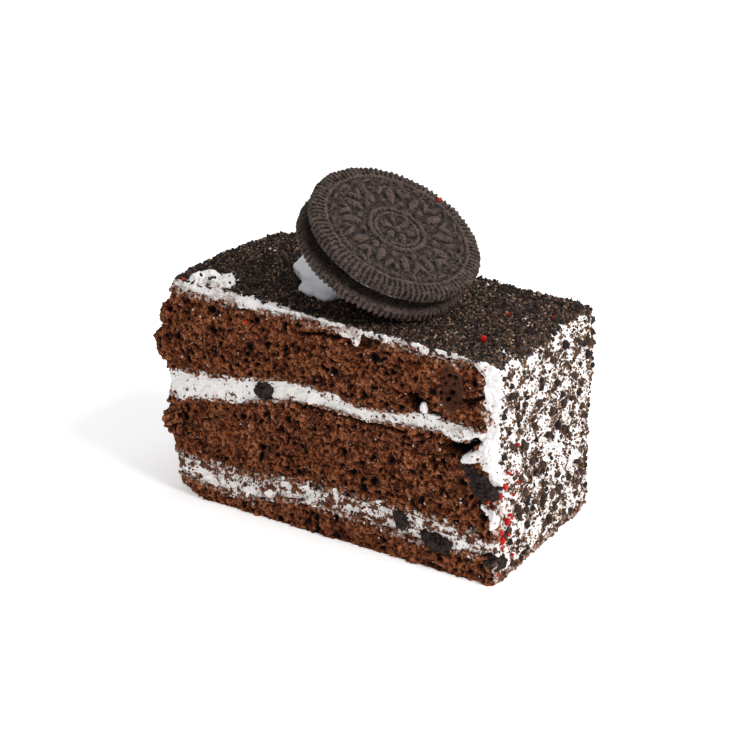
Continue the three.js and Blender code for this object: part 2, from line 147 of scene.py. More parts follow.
def applyModifier(piece, kind, **settings):
    modifier = piece.modifiers.new(kind.lower(), kind)
    for name, value in settings.items():
        setattr(modifier, name, value)
    pickOnly(piece)
    bpy.ops.object.modifier_apply(modifier=modifier.name)


def remesh(piece, voxel):
    applyModifier(piece, "REMESH", mode="VOXEL", voxel_size=voxel)


def copyNode(node, name):
    piece = bpy.data.objects.new(name, nodes[node].data.copy())
    bpy.context.scene.collection.objects.link(piece)
    piece.data.materials.clear()
    pickOnly(piece)
    bpy.ops.mesh.customdata_custom_splitnormals_clear()
    setMode("EDIT")
    bpy.ops.mesh.select_all(action="SELECT")
    bpy.ops.mesh.remove_doubles(threshold=0.02 * mm)
    setMode("OBJECT")
    return piece


def readMesh(mesh, domain="vertices", field="co"):
    data = np.empty(len(getattr(mesh, domain)) * 3)
    getattr(mesh, domain).foreach_get(field, data)
    return data.reshape(-1, 3)


def movePoints(mesh, spots):
    mesh.vertices.foreach_set("co", spots.ravel())
    mesh.update()


def writeField(mesh, name, values):
    mesh.attributes.new(name, "FLOAT", "POINT").data.foreach_set("value", values)


def settle(piece):  # flat where it stands on the board
    spots = readMesh(piece.data)
    spots[:, 2] = np.maximum(spots[:, 2], 0)
    movePoints(piece.data, spots)


def finishPiece(piece, material, slot, *replaced):
    piece.data.materials.clear()
    piece.data.materials.append(material)
    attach(piece, "root")
    if replaced:
        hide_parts(*replaced)
    print("finished", piece.name, "with", len(piece.data.polygons), "faces")
    return piece


# Camera and light

camera = {
    "azimuth": 32.26,  # degrees, as seen from above
    "elevation": 23.68,
    "roll": -0.32,
    "distance": 480 * mm,
    "aim": fromCorner(33.9, 41.4, 26.7),
    "lens": 85.6,
    "clip": 20 * mm,
}


def outward(azimuth, elevation):  # the way from the cake to a camera or lamp that stands at these degrees
    turn, rise = math.radians(azimuth), math.radians(elevation)
    return Vector((math.sin(turn) * math.cos(rise), -math.cos(turn) * math.cos(rise), math.sin(rise)))


def setCamera():
    bpy.ops.object.camera_add()
    view = bpy.context.object
    out = outward(camera["azimuth"], camera["elevation"])
    view.location = camera["aim"] + out * camera["distance"]
    view.rotation_mode = "QUATERNION"
    level = (-out).to_track_quat("-Z", "Y").to_matrix().to_4x4()
    roll = Matrix.Rotation(math.radians(camera["roll"]), 4, "Z")
    view.rotation_quaternion = (level @ roll).to_quaternion()
    view.data.lens = camera["lens"]
    view.data.clip_start = camera["clip"]
    bpy.context.scene.camera = view


studio = {
    "floorTone": "#fbfbfb",
    "floorGlow": 0.35,
    "floorSize": 6,
    "worldTone": "#ffffff",
    "worldStrength": 0.36,
    "aim": fromCorner(47, 25, 35),
    "lamps": [  # name, azimuth, elevation, distance, width, power
        ("keyLamp", 84, 42, 0.75, 0.34, 4.9),
        ("backLamp", 170, 62, 1.40, 0.90, 6.0),
        ("frontLamp", 0, 45, 1.40, 0.90, 1.6),
    ],
}


def setStudio():
    world = bpy.data.worlds.new("studioWhite")
    bpy.context.scene.world = world
    world.use_nodes = True
    setInputs(world.node_tree, world.node_tree.nodes["Background"], {
        "Color": studio["worldTone"], "Strength": studio["worldStrength"],
    })
    for name, azimuth, elevation, distance, width, power in studio["lamps"]:
        bpy.ops.object.light_add(type="AREA")
        lamp = bpy.context.object
        lamp.name = name
        lamp.data.size = width
        lamp.data.energy = power
        lamp.visible_camera = False
        out = outward(azimuth, elevation)
        lamp.location = studio["aim"] + out * distance
        lamp.rotation_mode = "QUATERNION"
        lamp.rotation_quaternion = (-out).to_track_quat("-Z", "Y")
    bpy.ops.mesh.primitive_plane_add(size=studio["floorSize"])
    floor = bpy.context.object
    floor.name = "studioFloor"
    acrylic = setSurface(newMaterial("backlitAcrylic")[0], studio["floorTone"], 0.9)  # a white table top
    setInputs(acrylic.node_tree, acrylic.node_tree.nodes["Principled BSDF"], {  # lit a little from below
        "Emission Color": studio["floorTone"], "Emission Strength": studio["floorGlow"],
    })
    floor.data.materials.append(acrylic)
    bpy.context.scene.view_settings.view_transform = "Standard"


# Materials

def makeSponge():
    # Chocolate sponge, baked and knife-cut: a dry, open crumb, whose pores are painted near black as shade
    material, tree, relief, smear, wall, hollow, warp, grain, drift, ragged = newMaterial(
        "chocolateSponge", ("relief", "smear", "bubbleWall", "hollow"),
        ((0.9, 2, 0.5), (0.4, 2, 0.5), (6, 2, 0.5), (1.3, 5, 0.7)))
    place = tree.nodes["Texture Coordinate"].outputs["Object"]
    bent = addNode(
        tree, "VectorMath", [warp.outputs["Color"], (0.9 * mm,) * 3, place], operation="MULTIPLY_ADD")
    web = addNode(  # 0.6 mm crumb walls
        tree, "TexVoronoi", {"Vector": bent, "Scale": 1 / (0.62 * mm)}, feature="DISTANCE_TO_EDGE")
    strand = addNode(tree, "MapRange", [web, 0.02, 0.30, 1.0, 0.0])
    porous = addNode(tree, "Math", [strand, 0.30, relief], operation="MULTIPLY_ADD")
    height = addNode(tree, "Math", [grain, 0.9, porous], operation="MULTIPLY_ADD")
    # The colour follows the crumb's height over its own brown: painted shade darkens the pits, painted
    # highlight lightens the strand tops
    level = addNode(tree, "MapRange", [height, 0.76, 1.63])
    tone = addRamp(tree, level, [
        (0.0, "#050100"), (0.28, "#200b03"), (0.55, "#552711"), (0.80, "#834a29"), (1.0, "#ad704a"),
    ])
    baked = addNode(tree, "MapRange", [drift, 0.35, 0.65])  # unevenly, a few millimetres across
    warm = addNode(
        tree, "Mix", {0: baked, 6: tone, 7: "#dcc8ba"}, data_type="RGBA", blend_type="MULTIPLY")
    skin = layOver(tree, warm, (wall, "#5d3727"))  # the bubble's smooth wall
    # Painted shade: the deep pores are painted near black
    lit = addNode(tree, "MapRange", [relief, 0.20, 0.46])
    skin = layOver(tree, "#070201", (lit, skin))
    # Cream that the knife smeared along the edge, and white flecks of it further off
    smeared = addUp(tree, smear, ragged)
    smeared = addNode(tree, "MapRange", [smeared, 1.0, 1.10, 0.0, 0.92])
    specks = addNode(tree, "TexVoronoi", {"Vector": bent, "Scale": 1 / (1.1 * mm)})
    luck = addNode(tree, "SeparateColor", [specks.outputs["Color"]])
    rare = addNode(tree, "Math", [luck, 0.955], operation="GREATER_THAN")
    small = addNode(tree, "Math", [specks, 0.24], operation="LESS_THAN")
    fleck = addNode(tree, "Math", [rare, small], operation="MULTIPLY")
    white = addNode(tree, "Math", [fleck, smeared], operation="MAXIMUM")
    # Painted shade makes the insides of the gaps near black
    colour = layOver(tree, skin, (hollow, "#060201"), (white, "#d6cbc3"))
    return setSurface(material, colour, 0.85, 0.2, (0.9, 0.45, height))


def makeCream(name, tone, shade, crumbs):
    # Whipped cream, spread with a knife: soft, slightly matte, with drag marks and stray crumb
    material, tree, hollow, soft, patches, drag = newMaterial(
        name, ("hollow",), ((4, 3, 0.5), (2.6, 6, 0.68), (0.7, 3, 0.5)))
    dirt = addNode(tree, "MapRange", [patches, 0.665 - crumbs, 0.685 - crumbs])  # dragged by the knife
    brown = addNode(tree, "MapRange", [drag, 0.35, 0.65])
    tint = layOver(tree, shade, (soft, tone))
    dark = layOver(tree, "#1d0b04", (brown, "#7d4424"))
    # Painted shade makes the insides of the gaps near black
    colour = layOver(tree, tint, (dirt, dark), (hollow, "#0c0705"))
    return setSurface(material, colour, 0.6, 0.3, (0.5, 0.25, drag))


def makeIcing():
    # White icing, smoothed with a palette knife, with biscuit dust worked into the top
    material, tree, dust, rubbed, hollow, ragged = newMaterial(
        "whiteIcing", ("dust", "rubbed", "hollow"), ((1.1, 5, 0.7),))
    place = tree.nodes["Texture Coordinate"].outputs["Object"]
    cover = addUp(tree, dust, ragged)
    cover = addNode(tree, "MapRange", [cover, 0.95, 1.05])
    grit = addNode(tree, "TexVoronoi", {"Vector": place, "Scale": 1 / (0.6 * mm)})  # under the loose grains
    gritTone = addNode(tree, "SeparateColor", [grit.outputs["Color"]])
    crumbs = addRamp(tree, gritTone, [(0.0, "#0d0908"), (0.7, "#2b211d"), (1.0, "#5a483d")])
    stain = addUp(tree, rubbed, ragged)  # sponge that the knife rubbed in
    stain = addNode(tree, "MapRange", [stain, 0.98, 1.16, 0.0, 0.75])
    # Painted shade makes the insides of the gaps near black
    colour = layOver(tree, "#ebe8e7", (stain, "#7c5a49"), (cover, crumbs), (hollow, "#0c0705"))
    return setSurface(material, colour, 0.65, bump=(0.4, 0.25, ragged))


def makeCrushedBiscuit(name, stops):
    # Dark cocoa biscuit, crushed: broken faces run from near black to a dusty tan
    material, tree, shade, grain = newMaterial(name, ("shade",), ((0.35, 3, 0.5),))
    level = addNode(tree, "Math", [grain, 0.35, shade], operation="MULTIPLY_ADD")
    level = addNode(tree, "Math", [level, 0.17], operation="SUBTRACT")
    return setSurface(material, addRamp(tree, level, stops), 0.85, 0.25, (0.5, 0.15, grain))


def makeWafer():
    # Baked cocoa wafer: dense, dry and slightly open; painted highlight on what stands proud, painted shade
    # in its folds and on the face that meets the filling
    material, tree, relief, inner, fine, blotch = newMaterial(
        "cocoaWafer", ("relief", "inner"), ((0.55, 4, 0.7), (3, 2, 0.5)))
    # Painted shade and painted highlight from the folds, and painted shade on the face that meets the
    # filling
    relief = addUp(tree, relief, inner)
    level = addNode(tree, "Math", [fine, 1.4, relief], operation="MULTIPLY_ADD")
    level = addNode(tree, "Math", [blotch, 0.5, level], operation="MULTIPLY_ADD")
    level = addNode(tree, "Math", [level, 0.80], operation="SUBTRACT")
    tone = addRamp(tree, level, [(0.0, "#0b0706"), (0.4, "#352925"), (0.75, "#54443d"), (1.0, "#6f5f53")])
    return setSurface(material, tone, 0.72, 0.3, (1.0, 0.20, fine))


def makeTwoTone(name, size, deep, pale, roughness, specular):  # a colour that drifts between two tones
    material, tree, soft = newMaterial(name, grains=((size, 3, 0.5),))
    return setSurface(material, layOver(tree, deep, (soft, pale)), roughness, specular)


# Relief, as geometry node trees that are applied to the meshes

def newRelief(name):
    tree = bpy.data.node_groups.new(name, "GeometryNodeTree")
    for way in ("INPUT", "OUTPUT"):
        tree.interface.new_socket("Geometry", in_out=way, socket_type="NodeSocketGeometry")
    kinds = ("NodeGroupInput", "GeometryNodeInputPosition", "GeometryNodeInputNormal")
    geometry, place, normal = (tree.nodes.new(kind).outputs[0] for kind in kinds)
    return tree, geometry, place, normal, tree.nodes.new("NodeGroupOutput").inputs[0]


def swing(tree, place, plan, unit=mm):  # waves of each size and rise, added up
    waves = []
    for size, rise in plan:
        texture = addNode(tree, "TexNoise", {"Vector": place, "Scale": 1 / (size * mm), "Detail": 1.5})
        waves.append(addNode(
            tree, "MapRange", [texture, 0.25, 0.75, -rise * unit, rise * unit], clamp=False))
    return addUp(tree, *waves)


def pushOut(tree, geometry, normal, rise):
    push = addNode(tree, "VectorMath", {0: normal, "Scale": rise}, operation="SCALE")
    return addNode(tree, "GeometryNodeSetPosition", {"Geometry": geometry, "Offset": push})


def keepFields(tree, geometry, fields):  # for the materials to read
    for name, value in fields.items():
        inputs = {"Geometry": geometry, "Name": name, "Value": value}
        geometry = addNode(
            tree, "GeometryNodeStoreNamedAttribute", inputs, data_type="FLOAT", domain="POINT")
    return geometry


def markFolds(tree, geometry, place, normal, name, plan):  # painted shade in the folds, painted highlight on what stands proud
    dip, crest, rounds, low, high = plan
    smooth = addNode(
        tree, "GeometryNodeBlurAttribute", {0: place, "Iterations": rounds}, data_type="FLOAT_VECTOR")
    gap = addNode(tree, "VectorMath", [place, smooth], operation="SUBTRACT")
    proud = addNode(tree, "VectorMath", [gap, normal], operation="DOT_PRODUCT")
    level = addNode(tree, "MapRange", [proud, -dip * mm, crest * mm, low, high])
    return keepFields(tree, geometry, {name: level})


def makeSpread(name, plan):
    # Spread or piped cream, icing and broken biscuit: waves, ripples and frayed edges, set back a little
    tree, geometry, place, normal, result = newRelief(name)
    waves = swing(tree, place, plan["waves"])
    rise = addNode(tree, "Math", [waves, plan.get("back", 0) * mm], operation="SUBTRACT")
    moved = pushOut(tree, geometry, normal, rise)
    if "folds" in plan:
        # Broken biscuit: its shade field holds painted shade in the folds and painted highlight on what
        # stands proud
        moved = markFolds(tree, moved, place, normal, "shade", plan["folds"])
    tree.links.new(moved.outputs[0], result)
    return tree


# Sponge layers

sponge = {
    "voxel": 0.30 * mm,
    "growth": {  # down and up into the cream, in mm
        "bottomSponge": (0, 1.0), "middleSponge": (1.2, 0.3), "topSponge": (0.4, 1.2),
    },
    "swell": [(7.0, 0.50), (2.4, 0.35)],  # size and rise of its waves in mm
    "crumb": [(1.15, 0.50), (0.6, 0.28)],
    "forward": 0.15 * mm,
    "pores": [(2.8, 1.50, 0.30), (1.7, 1.20, 0.35), (1.1, 0.75, 0.0)],  # size and depth, share left out
    "bubble": ((80.7, -0.6, 49.4), (3.7, 4.0, 6.1)),  # the big smooth-walled one, in slice mm
    "pocks": [  # holes in its wall: x, y, z and radius
        (79.2, 2.6, 51.5, 0.6), (80.6, 2.9, 51.2, 0.65), (77.5, 1.3, 47.3, 0.6),
        (79.9, 2.7, 47.3, 0.75), (77.6, 1.0, 45.8, 0.65), (79.3, 1.9, 45.7, 0.7),
        (81.5, 1.8, 45.4, 0.35), (82.3, 2.4, 48.9, 0.35), (80.3, 2.9, 49.4, 0.35),
        (78.3, 2.3, 49.4, 0.35), (78.6, 1.8, 53.4, 0.35), (81.6, 2.7, 50.0, 0.3),
    ],
    "pockDepth": 1.1 * mm,
    "smearReach": 2.4 * mm,
    "foot": (92.8, 93.2),  # past this the bottom layer is a ledge that icing has run over
}


def pit(tree, place, size, depth, bare):  # round pores; the higher bare is, the fewer there are
    cells = addNode(tree, "TexVoronoi", {"Vector": place, "Scale": 1 / (size * mm)})
    luck = addNode(tree, "FunctionNodeSeparateColor", [cells.outputs["Color"]])
    reach = addNode(tree, "MapRange", [luck, bare, 1.0, 0.01, 0.58])
    hole = [cells, reach, 0.0, 0.0, -depth * mm]
    return addNode(tree, "MapRange", hole, interpolation_type="SMOOTHSTEP")


def makeCrumbRelief(name, creamNodes):
    tree, geometry, place, normal, result = newRelief(name)
    warp = addNode(tree, "TexNoise", {"Vector": place, "Scale": 1 / (1.6 * mm), "Detail": 2.0})
    bent = addNode(
        tree, "VectorMath", [warp.outputs["Color"], (1.8 * mm,) * 3, place], operation="MULTIPLY_ADD")
    pores = [pit(tree, bent, *plan) for plan in sponge["pores"]]
    fine = addUp(tree, *pores, swing(tree, bent, sponge["crumb"]))

    # The big bubble has a smooth wall with small holes in it
    centre, half = sponge["bubble"]
    arm = addNode(tree, "VectorMath", [place, fromCorner(*centre)], operation="SUBTRACT")
    arm = addNode(tree, "VectorMath", [arm, [h * mm for h in half]], operation="DIVIDE")
    arm = addNode(tree, "VectorMath", [arm], operation="LENGTH")
    frayed = addUp(tree, arm, swing(tree, place, [(1.6, 0.10)], 1))
    wall = addNode(tree, "MapRange", [frayed, 1.10, 0.94], interpolation_type="SMOOTHSTEP")
    hollow = addNode(tree, "GeometryNodeInputNamedAttribute", {"Name": "hollow"}, data_type="FLOAT")
    calm = addNode(tree, "Math", [wall, hollow], operation="MAXIMUM")
    rough = addNode(tree, "MapRange", [calm, 0.0, 1.0, 1.0, 0.15])
    fine = addNode(tree, "Math", [fine, rough], operation="MULTIPLY")
    for x, y, z, radius in sponge["pocks"]:
        away = addNode(tree, "VectorMath", [place, fromCorner(x, y, z)], operation="DISTANCE")
        hole = [away, radius * 1.15 * mm, radius * 0.4 * mm, 0.0, -sponge["pockDepth"]]
        fine = addUp(tree, fine, addNode(tree, "MapRange", hole, interpolation_type="SMOOTHSTEP"))

    # Faces that lie flat against a neighbour stay where they are
    facing = addNode(tree, "SeparateXYZ", [normal])
    level = addNode(tree, "Math", [facing.outputs[2]], operation="ABSOLUTE")
    upright = addNode(tree, "MapRange", [level, 0.95, 0.75])
    waves = addNode(tree, "Math", [swing(tree, place, sponge["swell"]), rough], operation="MULTIPLY")
    height = addUp(tree, fine, waves, sponge["forward"])
    height = addNode(tree, "Math", [height, upright], operation="MULTIPLY")

    # Cream smears onto the crumb that is close to it, and icing onto the ledge at the foot
    others = addNode(tree, "GeometryNodeJoinGeometry")
    for node in creamNodes:
        source = addNode(tree, "GeometryNodeObjectInfo", {"Object": nodes[node]})
        tree.links.new(source.outputs["Geometry"], others.inputs[0])
    near = addNode(tree, "GeometryNodeProximity", [others], target_element="FACES")
    distance = near.outputs["Distance"]
    smear = addNode(tree, "MapRange", [distance, 0.3 * mm, sponge["smearReach"], 0.50, 0.30])
    across = addNode(tree, "SeparateXYZ", [place])
    start, end = (fromCorner(x, 0, 0).x for x in sponge["foot"])
    ledge = addNode(tree, "MapRange", [across, start, end, 0.0, 0.53])
    # relief is the crumb's depth, which the sponge material turns into painted shade in the pores
    shape = keepFields(tree, geometry, {
        "smear": addNode(tree, "Math", [smear, ledge], operation="MAXIMUM"),
        "relief": addNode(tree, "MapRange", [fine, -1.15 * mm, 0.40 * mm]),
        "bubbleWall": wall,
    })
    tree.links.new(pushOut(tree, shape, normal, height).outputs[0], result)
    return tree


# Steps that the soft layers share

bubbles = [  # the CAD layers' own, centre and half sizes in slice mm
    ((80.4, -0.6, 49.6), (3.9, 3.6, 6.2)),
    ((84.6, 0.0, 46.4), (4.6, 2.4, 1.0)),
    ((72.2, -0.2, 43.4), (1.7, 3.2, 2.3)),
    ((56.2, -0.3, 55.4), (4.6, 2.6, 1.2)),
    ((-3.4, 4.0, 47.5), (1.8, 2.6, 1.4)),
    ((83.2, 0.4, 35.0), (5.4, 3.4, 1.7)),
    ((79.0, -0.4, 29.4), (1.3, 1.8, 3.6)),
    ((0.6, 0.2, 21.4), (2.3, 2.0, 3.4)),
]
bubbleRim = 1.15  # a bubble's faces reach this far, as a share of its half sizes


def swellUpDown(piece, down, up):  # grows what faces down or up; cut faces, bubbles and the foot stay
    spots = readMesh(piece.data)
    normals = readMesh(piece.data, field="normal")
    free = spots[:, 2] > 1 * mm
    for centre, half in bubbles:
        arm = (spots - np.array(fromCorner(*centre))) / (np.array(half) * mm)
        free &= np.sqrt((arm ** 2).sum(1)) > bubbleRim
    spots[:, 2] -= down * mm * (normals[:, 2] < -0.3) * free
    spots[:, 2] += up * mm * (normals[:, 2] > 0.3) * free
    movePoints(piece.data, spots)


gaps = [  # gaps in the cut face, with painted shade inside: depth, share of painted shade, then x, middle height and half thickness in slice mm
    (4.6, 1.0, [  # the wedge where the upper cream meets the side icing
        (79.6, 34.2, 0.0), (80.4, 34.2, 0.7), (82.0, 34.1, 1.15), (83.6, 33.8, 1.5),
        (85.5, 35.2, 1.5), (87.4, 36.8, 1.5), (88.6, 37.6, 1.0), (89.4, 37.2, 0.0),
    ]),
    (3.4, 1.0, [  # a torn hole over the upper cream
        (69.6, 44.2, 0.0), (70.1, 44.3, 1.7), (71.2, 44.4, 2.3), (72.3, 44.5, 1.9), (72.8, 44.6, 0.0),
    ]),
    (2.2, 0.9, [  # the crack that runs from the big bubble to the icing
        (82.6, 46.4, 0.0), (83.6, 46.7, 0.8), (86.5, 47.6, 0.75), (88.8, 48.6, 0.8), (89.8, 49.0, 0.0),
    ]),
    (2.0, 0.85, [  # under the run of icing at the top edge
        (37.5, 54.4, 0.0), (40.0, 54.7, 0.6), (45.0, 55.5, 0.65), (50.0, 55.6, 0.6), (51.0, 55.6, 0.0),
    ]),
    (2.2, 0.85, [  # a burst bubble beside it
        (56.6, 55.8, 0.0), (57.4, 56.0, 0.8), (59.6, 56.5, 0.8), (62.2, 56.6, 0.5), (63.2, 56.7, 0.0),
    ]),
    (1.5, 0.7, [  # where the middle layer has shrunk away under the cream
        (31.0, 34.0, 0.0), (36.7, 35.3, 0.4), (46.8, 35.2, 0.5), (56.0, 34.7, 0.5),
        (65.5, 35.1, 0.6), (74.0, 35.4, 0.5), (78.4, 35.2, 0.0),
    ]),
    (1.6, 0.55, [  # a long bubble in the middle layer
        (75.4, 29.4, 0.0), (75.9, 29.4, 2.0), (76.7, 29.4, 2.8), (77.5, 29.4, 2.0), (78.0, 29.4, 0.0),
    ]),
]
gapReach = 8  # slice mm behind the cut face, past which no painted shade is laid


def fromGap(spots, depth, path):  # how deep the gap is at each spot, and how far off its middle that is
    x, y, z = toSlice(spots)
    along, middles, halves = zip(*path)
    half = np.maximum(np.interp(x, along, halves), 0.001)
    off = np.abs(z - np.interp(x, along, middles)) / half
    inside = (x > along[0]) & (x < along[-1]) & (off < 1)
    return y, np.where(inside, np.sqrt(np.clip(1 - off ** 4, 0, 1)) * depth, 0), off


def pressGaps(piece):  # pushes the cut face back into each gap, and paints its inside dark as shade
    spots = readMesh(piece.data)
    dark = np.zeros(len(spots))
    for depth, paintedShade, path in gaps:
        y, reach, off = fromGap(spots, depth, path)
        spots[:, 1] = np.where((reach > 0) & (y < reach), sliceCorner.y + reach * mm, spots[:, 1])
        y, reach, off = fromGap(spots, depth, path)
        # Painted shade: near black on the gap's inside, fading off at its rim
        inner = np.clip((1.4 - off) / 0.2, 0, 1) * np.clip((y - 0.3 * depth) / 0.5, 0, 1)
        dark = np.maximum(dark, inner * (y < gapReach) * paintedShade)
    movePoints(piece.data, spots)
    writeField(piece.data, "hollow", dark)


def addLump(piece, centre, half, tilt=0.0):  # a rounded lump, joined to the piece before it is remeshed
    bpy.ops.mesh.primitive_uv_sphere_add(
        segments=24, ring_count=12, radius=1, location=fromCorner(*centre))
    lump = bpy.context.object
    lump.scale = [h * mm for h in half]
    lump.rotation_euler.y = math.radians(tilt)
    pickOnly(piece, lump)
    bpy.ops.object.join()


cornerSlabs = {  # where the layers run on towards the iced corner: centre and half sizes
    "bottomSponge": ((91.8, 1.0, 4.4), (2.4, 1.3, 3.6)),
    "lowerCream": ((92.0, 0.9, 10.6), (3.0, 1.3, 1.9)),
    "middleSponge": ((91.4, 1.0, 18.4), (2.5, 1.3, 6.4)),
    "topSponge": ((90.4, 1.0, 44.2), (1.0, 1.3, 1.7)),
}


def addSlab(piece, centre, half):  # carries a layer's cut face on to the corner
    bpy.ops.mesh.primitive_cube_add(size=2, location=fromCorner(*centre))
    slab = bpy.context.object
    slab.scale = [h * mm for h in half]
    bpy.ops.object.transform_apply(location=False, rotation=False, scale=True)
    applyModifier(slab, "BEVEL", width=0.5 * mm, segments=2)
    pickOnly(piece, slab)
    bpy.ops.object.join()


keptShare = 0.04  # of the faces that other layers cover, which need no detail


def thinHidden(piece, hidden, low, high):
    mesh = piece.data
    marks = hidden(readMesh(mesh, "polygons", "center"), readMesh(mesh, "polygons", "normal"), low, high)
    pickOnly(piece)
    setMode("EDIT")
    bpy.ops.mesh.select_mode(type="FACE")
    bpy.ops.mesh.select_all(action="DESELECT")
    setMode("OBJECT")
    mesh.polygons.foreach_set("select", marks)
    setMode("EDIT")
    bpy.ops.mesh.decimate(ratio=keptShare)
    setMode("OBJECT")


def within(spots, low, high, left, right, front, back):  # inside the box by these margins, in mm
    x, y = spots[:, 0], spots[:, 1]
    inLength = (x > low.x + left * mm) & (x < high.x - right * mm)
    return inLength & (y > low.y + front * mm) & (y < high.y - back * mm)


anyLength = -50  # a margin that takes in the whole length


def hiddenSponge(spots, normals, low, high):
    between = (np.abs(normals[:, 2]) > 0.85) & within(spots, low, high, 9, 4, 3, 3)
    end = (normals[:, 0] > 0.9) & (spots[:, 2] > 3 * mm)
    return between | (end & within(spots, low, high, 9, anyLength, 3, 3))


def hiddenCream(spots, normals, low, high):
    return (np.abs(normals[:, 2]) > 0.8) & within(spots, low, high, 9, 4, 6, 4)


def hiddenIcing(spots, normals, low, high):
    under = (normals[:, 2] < -0.8) & (spots[:, 2] > 40 * mm)
    behind = (normals[:, 0] < -0.8) & (spots[:, 0] > high.x - 12 * mm)
    return (under & within(spots, low, high, 5, anyLength, 3, 3)) | (
        behind & within(spots, low, high, anyLength, anyLength, 6, 3))


def shapeLayer(node, name, relief, voxel, growth=(0, 0), lumps=(), hidden=None):
    piece = copyNode(node, name)
    if any(growth):
        swellUpDown(piece, *growth)
    if name in cornerSlabs:
        addSlab(piece, *cornerSlabs[name])
    for lump in lumps:
        addLump(piece, *lump)
    remesh(piece, voxel)
    if hidden:
        thinHidden(piece, hidden, *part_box(node))
        pressGaps(piece)
    applyModifier(piece, "NODES", node_group=relief)
    return piece


def bakeSponge(node, name, creamNodes, material):
    relief = makeCrumbRelief(name + "Relief", creamNodes)
    piece = shapeLayer(
        node, name, relief, sponge["voxel"], growth=sponge["growth"][name], hidden=hiddenSponge)
    settle(piece)
    return finishPiece(piece, material, "sponge", node)


# Cream layers

cream = {
    "voxel": 0.34 * mm,
    "overlap": 0.7,  # how far each layer reaches into the sponges above and below, in mm
    "lowerCream": {
        "waves": [(3.4, 0.90), (1.3, 0.45), (0.6, 0.15)],  # size and rise in mm
        "back": 0.25,
        "lumps": [],
    },
    "upperCream": {
        "waves": [(5, 0.35), (1.8, 0.30), (0.7, 0.15)],
        "lumps": [((84.8, 1.0, 38.4), (6.0, 1.9, 1.9), -12), ((73.8, -0.2, 43.0), (0.95, 1.0, 1.5))],
    },
}


def spreadCream(node, name, material):
    plan, reach = cream[name], cream["overlap"]
    relief = makeSpread(name + "Relief", plan)
    piece = shapeLayer(node, name, relief, cream["voxel"], (reach, reach), plan["lumps"], hiddenCream)
    return finishPiece(piece, material, "cream", node)


# Icing

icing = {
    "voxel": 0.40 * mm,
    "waves": [(8, 0.30), (2.4, 0.36), (0.9, 0.26)],
    "back": 0.25,
    "tornPatch": ((8.4, 5.7), (6.6, 5.0)),  # bare cream by the front left corner: centre, half widths
    "smearPatch": ((13, 2.2), (9, 2.6)),  # the thin icing under it
    "frontLine": [  # x, and the bare width along the edge there
        (0, 1.2), (4, 1.6), (17, 2.3), (34, 1.9), (44, 0.6), (60, 0.9), (91, 0.5),
    ],
    "backLine": 0.8,
    "lumps": [  # centre, half sizes and tilt of the thick places
        ((87.5, 0.0, 33.3), (4.6, 1.8, 1.6), -31),  # under the gap
        ((90.9, 0.3, 34.6), (2.5, 1.8, 4.6)),
        ((93.2, 0.9, 28.9), (2.8, 1.3, 1.3), 48),
        ((92.0, 0.3, 19.7), (3.2, 1.5, 1.3), 33),  # under the side biscuit
        ((93.1, 0.2, 18.4), (1.4, 1.5, 4.2)),
        ((89.0, 0.4, 56.4), (1.6, 1.0, 1.7), 25),  # where it laps over the top sponge's edge
        ((90.0, 0.4, 51.0), (0.9, 0.9, 1.8)),
        ((89.9, 0.5, 47.6), (0.8, 0.9, 1.2)),
        ((51.8, 0.5, 57.0), (4.4, 1.2, 1.3), 4),  # the run over the top edge
        ((54.6, 0.2, 55.9), (1.5, 1.0, 1.7)),
        ((35.0, 0.6, 57.6), (4.2, 0.8, 0.7)),
        ((63.0, 0.6, 57.1), (5.0, 0.8, 0.8)),
        ((76.0, 0.6, 57.0), (5.5, 0.8, 0.9)),
        ((4.4, 4.6, 60.9), (2.2, 2.2, 1.0)),  # the torn patch
        ((7.4, 7.0, 61.1), (2.2, 2.0, 1.2), 12),
        ((10.6, 8.0, 60.9), (2.4, 2.2, 1.2), -10),
        ((8.4, 4.0, 60.8), (2.6, 1.5, 1.0), -8),
        ((12.2, 5.4, 60.6), (2.0, 1.8, 1.1)),
        ((5.6, 8.4, 60.7), (1.6, 1.4, 0.9)),
        ((1.0, 2.6, 59.9), (2.0, 1.6, 1.2)),
    ],
    "topStart": 50,  # slice mm above which a front edge counts as the top's
}
topSpan = (94, 51)  # of the top in slice mm
cornerRise = [2.2, -0.7, 0.0, -2.8]  # over sliceHeight, at front left and right, back left and right


def patchNoise(spots, grain, shift=0.0):
    return np.array([noise.noise(place) for place in (spots / grain + shift).tolist()])


def fromPatch(x, y, name):  # 1 on the patch's edge
    (px, py), (hx, hy) = icing[name]
    return np.hypot((x - px) / hx, (y - py) / hy)


def dustCover(spots):  # 1 where biscuit dust hides the icing, 0 where it is bare
    x, y, z = toSlice(spots)
    ragged = 1.2 * patchNoise(spots, 3.2 * mm) + 0.9 * patchNoise(spots, 1.2 * mm, 7.0)
    along, over = x / topSpan[0], y / topSpan[1]
    front = cornerRise[0] * (1 - along) + cornerRise[1] * along
    back = cornerRise[2] * (1 - along) + cornerRise[3] * along
    top = sliceHeight / mm + front * (1 - over) + back * over
    cover = np.clip((z - top + 2.4 - 1.6 * ragged) / 1.2, 0, 1)
    torn = fromPatch(x, y, "tornPatch") + 0.2 * ragged
    cover *= np.clip((torn - 0.95) * 6, 0, 1)
    bare = np.interp(x, *zip(*icing["frontLine"]))
    cover *= np.clip((y - bare - 0.9 * ragged + 0.4) / 0.6, 0, 1)
    cover *= np.clip((sliceWidth / mm - y - icing["backLine"] - 0.9 * ragged + 0.4) / 0.6, 0, 1)
    return cover


